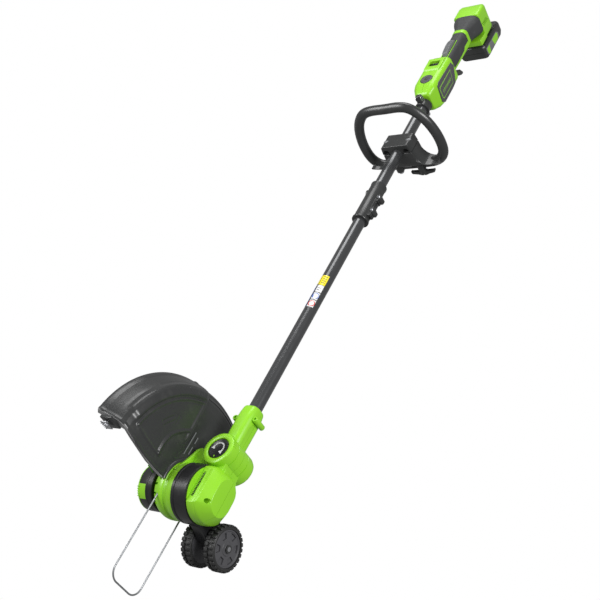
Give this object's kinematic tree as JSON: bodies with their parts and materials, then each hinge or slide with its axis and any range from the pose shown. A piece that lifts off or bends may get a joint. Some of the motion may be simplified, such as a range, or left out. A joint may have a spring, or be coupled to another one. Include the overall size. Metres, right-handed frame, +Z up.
{
  "type": "cordless grass trimmer and lawn edger",
  "caption": "Cordless line trimmer in its edging pose: tilting motor head with guard, edging wheels and wire guard, two-part shaft, loop handle and battery grip.",
  "frame": {"origin": "on the ground under the wheel axle, in the plane of the shaft, with the tool in its edging pose", "axes": "+Z up, -Y the way the tool is pushed, +X towards the motor's end cover"},
  "size_m": [0.2303, 1.1779, 1.1924],
  "materials": {
    "green_plastic": "satin lime green moulding",
    "black_plastic": "fine-grained black moulding",
    "grey_plastic": "dark grey moulding",
    "grip_rubber": "soft dark overmould",
    "tube_metal": "dark grey powder coat",
    "steel": "zinc-plated",
    "wire_steel": "bright wire",
    "tread": "hard rubber tread",
    "copper_core": "wound motor core",
    "cutting_nylon": "nylon line",
    "board": "circuit board",
    "cell_wrap": "wrapped cells"
  },
  "bodies": {
    "upper_shaft": {"upper_tube": "tube_metal", "motor_cable": "grip_rubber", "coupler_sleeve": "black_plastic", "coupler_bolts": "steel", "harness_collar": "black_plastic", "harness_eyelet": "steel", "collar_screw": "steel", "handle_shell_left": "green_plastic", "handle_shell_right": "green_plastic", "handle_screws": "steel", "handle_inlays": "grey_plastic", "grip_sleeve": "grip_rubber", "neck_cover": "grip_rubber", "window_insert": "grey_plastic", "trigger_spring": "steel", "micro_switch": "grey_plastic", "controller_board": "board", "battery_terminals": "grey_plastic"},
    "handle": {"loop_handle": "black_plastic", "handle_clamp": "black_plastic", "handle_bolts": "steel"},
    "wing_knob": {"wing_knob": "grey_plastic"},
    "coupler_button": {"coupler_button": "black_plastic"},
    "speed_button": {"speed_button": "grey_plastic"},
    "trigger": {"trigger": "grey_plastic"},
    "lock_off_lever": {"lock_off_lever": "grey_plastic"},
    "battery": {"battery_upper_case": "black_plastic", "battery_lower_case": "black_plastic", "battery_cells": "cell_wrap"},
    "battery_latch": {"battery_latch": "grey_plastic"},
    "lower_shaft": {"lower_tube": "tube_metal", "lower_shell_front": "green_plastic", "lower_shell_rear": "green_plastic", "lower_shell_screws": "steel"},
    "head": {"motor_housing_front": "green_plastic", "motor_housing_rear": "green_plastic", "housing_screws": "steel", "motor_stator": "copper_core", "motor_bearings": "steel", "hinge_pin": "steel", "wheel_bracket": "black_plastic", "wheel_axle": "steel", "axle_clips": "black_plastic", "guard": "black_plastic", "guard_screws": "steel", "cutoff_blade": "steel"},
    "tilt_button": {"tilt_button": "black_plastic"},
    "wire_guard": {"wire_guard": "wire_steel"},
    "spool": {"motor_shaft": "steel", "motor_rotor": "steel", "cooling_fan": "black_plastic", "spool_housing": "black_plastic", "spool_cap": "green_plastic", "line_spool": "black_plastic", "line_eyelets": "steel", "cutting_line": "cutting_nylon"},
    "wheel_right": {"wheel_hub_right": "grey_plastic", "tyre_right": "tread"},
    "wheel_left": {"wheel_hub_left": "grey_plastic", "tyre_left": "tread"}
  },
  "joints": [
    {"name": "shaft_twist", "type": "hinge", "parent": "upper_shaft", "child": "lower_shaft", "pos_m": [0, 0.45469, 0.65566], "axis": [0, 0.682, 0.7314], "range_deg": [-90, 0]},
    {"name": "head_tilt", "type": "hinge", "parent": "lower_shaft", "child": "head", "pos_m": [0, 0.01821, 0.1876], "axis": [0, -0.7314, 0.682], "range_deg": [0, 60]},
    {"name": "tilt_button_press", "type": "slide", "parent": "head", "child": "tilt_button", "axis": [0, 0.7314, -0.682], "range_m": [0, 0.003], "stiffness_N_per_m": 900},
    {"name": "wire_guard_slide", "type": "slide", "parent": "head", "child": "wire_guard", "axis": [0, 0.682, 0.7314], "range_m": [0, 0.04]},
    {"name": "spool_spin", "type": "hinge", "parent": "head", "child": "spool", "pos_m": [0, -0.03226, 0.13348], "axis": [1, 0, 0], "continuous": true},
    {"name": "wheel_right_spin", "type": "hinge", "parent": "head", "child": "wheel_right", "pos_m": [0, 0, 0.0405], "axis": [1, 0, 0], "continuous": true},
    {"name": "wheel_left_spin", "type": "hinge", "parent": "head", "child": "wheel_left", "pos_m": [0, 0, 0.0405], "axis": [1, 0, 0], "continuous": true},
    {"name": "handle_slide", "type": "slide", "parent": "upper_shaft", "child": "handle", "axis": [0, 0.682, 0.7314], "range_m": [-0.06, 0.05]},
    {"name": "wing_knob_turn", "type": "hinge", "parent": "handle", "child": "wing_knob", "pos_m": [0.027, 0.62728, 0.7381], "axis": [0, -0.7314, 0.682], "continuous": true},
    {"name": "coupler_button_press", "type": "slide", "parent": "upper_shaft", "child": "coupler_button", "axis": [1, 0, 0], "range_m": [0, 0.0025], "stiffness_N_per_m": 900},
    {"name": "speed_button_press", "type": "slide", "parent": "upper_shaft", "child": "speed_button", "axis": [0, 0.7314, -0.682], "range_m": [0, 0.002], "stiffness_N_per_m": 1200},
    {"name": "trigger_pull", "type": "hinge", "parent": "upper_shaft", "child": "trigger", "pos_m": [0, 0.77417, 0.96894], "axis": [1, 0, 0], "range_deg": [0, 10], "stiffness_Nm_per_rad": 1.2, "springref_deg": -2.86},
    {"name": "lock_off_press", "type": "hinge", "parent": "upper_shaft", "child": "lock_off_lever", "pos_m": [0, 0.81147, 1.05585], "axis": [1, 0, 0], "range_deg": [0, 7], "stiffness_Nm_per_rad": 1.2, "springref_deg": -4.58},
    {"name": "battery_slide", "type": "slide", "parent": "upper_shaft", "child": "battery", "axis": [0, 0.682, 0.7314], "range_m": [0, 0.085]},
    {"name": "battery_latch_press", "type": "slide", "parent": "battery", "child": "battery_latch", "axis": [0, 0.7314, -0.682], "range_m": [0, 0.002], "stiffness_N_per_m": 900}
  ]
}
